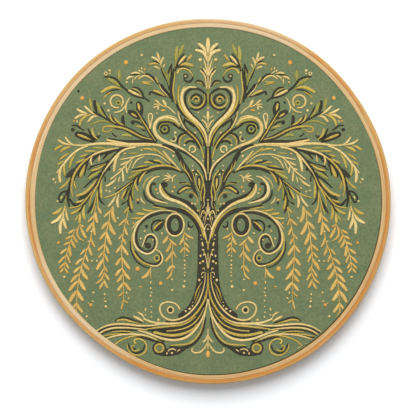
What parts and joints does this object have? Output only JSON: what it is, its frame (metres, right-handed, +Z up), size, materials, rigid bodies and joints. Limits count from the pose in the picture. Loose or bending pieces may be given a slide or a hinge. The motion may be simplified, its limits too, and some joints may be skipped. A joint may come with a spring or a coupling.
{
  "type": "round wall plaque",
  "caption": "Round wall plaque in a bentwood hoop, with a clay tree of life in coloured strings, leaves and beads on a green clay ground, and a strap hanger behind.",
  "frame": {"origin": "middle of the disc on the wall plane, the back edge of the hoop", "axes": "+Z up as the plaque hangs, +Y from the decorated face into the wall, +X to the right for someone looking at the decorated face"},
  "size_m": [0.3, 0.018, 0.3],
  "materials": {
    "hoop_wood": "sanded bentwood, waxed",
    "green_clay": "matte, finely grained clay",
    "panel_ply": "bare plywood",
    "steel": "plain wire",
    "plated_steel": "brass plated",
    "dark_clay": "matte clay",
    "olive_clay": "matte clay",
    "gold_clay": "matte clay",
    "straw_clay": "matte clay",
    "orange_clay": "matte clay",
    "cream_clay": "matte clay"
  },
  "bodies": {
    "plaque": {"outer_hoop": "hoop_wood", "inner_hoop": "hoop_wood", "clay_slab": "green_clay", "back_panel": "panel_ply", "framing_brads": "steel", "hanger_strap": "plated_steel", "hanger_screws": "plated_steel", "trunk_core": "dark_clay", "trunk_gold": "gold_clay", "trunk_cream": "cream_clay", "trunk_beads": "cream_clay", "root_shade": "dark_clay", "root_gold": "gold_clay", "root_cream": "cream_clay", "root_beads": "cream_clay", "foot_sprig": "cream_clay", "foot_bud": "orange_clay", "heart_shade": "dark_clay", "heart_gold": "gold_clay", "heart_olive": "olive_clay", "heart_cream": "cream_clay", "heart_beads": "cream_clay", "heart_sprigs": "cream_clay", "heart_leaflets": "orange_clay", "finial_cream": "cream_clay", "finial_stem": "olive_clay", "finial_shade": "dark_clay", "finial_gold": "gold_clay", "crown_shade": "dark_clay", "crown_olive": "olive_clay", "crown_gold": "gold_clay", "crown_cream": "cream_clay", "crown_beads": "cream_clay", "branch_shade": "dark_clay", "branch_olive": "olive_clay", "branch_gold": "gold_clay", "branch_cream": "cream_clay", "branch_beads": "cream_clay", "bough_shade": "dark_clay", "bough_olive": "olive_clay", "bough_gold": "gold_clay", "bough_cream": "cream_clay", "bough_beads": "cream_clay", "ring_shade": "dark_clay", "ring_gold": "gold_clay", "ring_cream": "cream_clay", "ring_beads": "cream_clay", "garland_inner": "straw_clay", "garland_beads": "cream_clay", "garland_ring": "straw_clay", "garland_beaded": "straw_clay", "garland_middle": "straw_clay", "garland_long": "straw_clay", "garland_side": "straw_clay", "garland_outer": "straw_clay", "garland_tip": "cream_clay", "garland_tip_leaves": "gold_clay", "seed_dots": "orange_clay"},
    "ring": {"hanger_ring": "plated_steel"}
  },
  "joints": [
    {"name": "ring_swing", "type": "hinge", "parent": "plaque", "child": "ring", "pos_m": [0, -0.0054, 0.104], "axis": [1, 0, 0], "range_deg": [0, 180]}
  ]
}
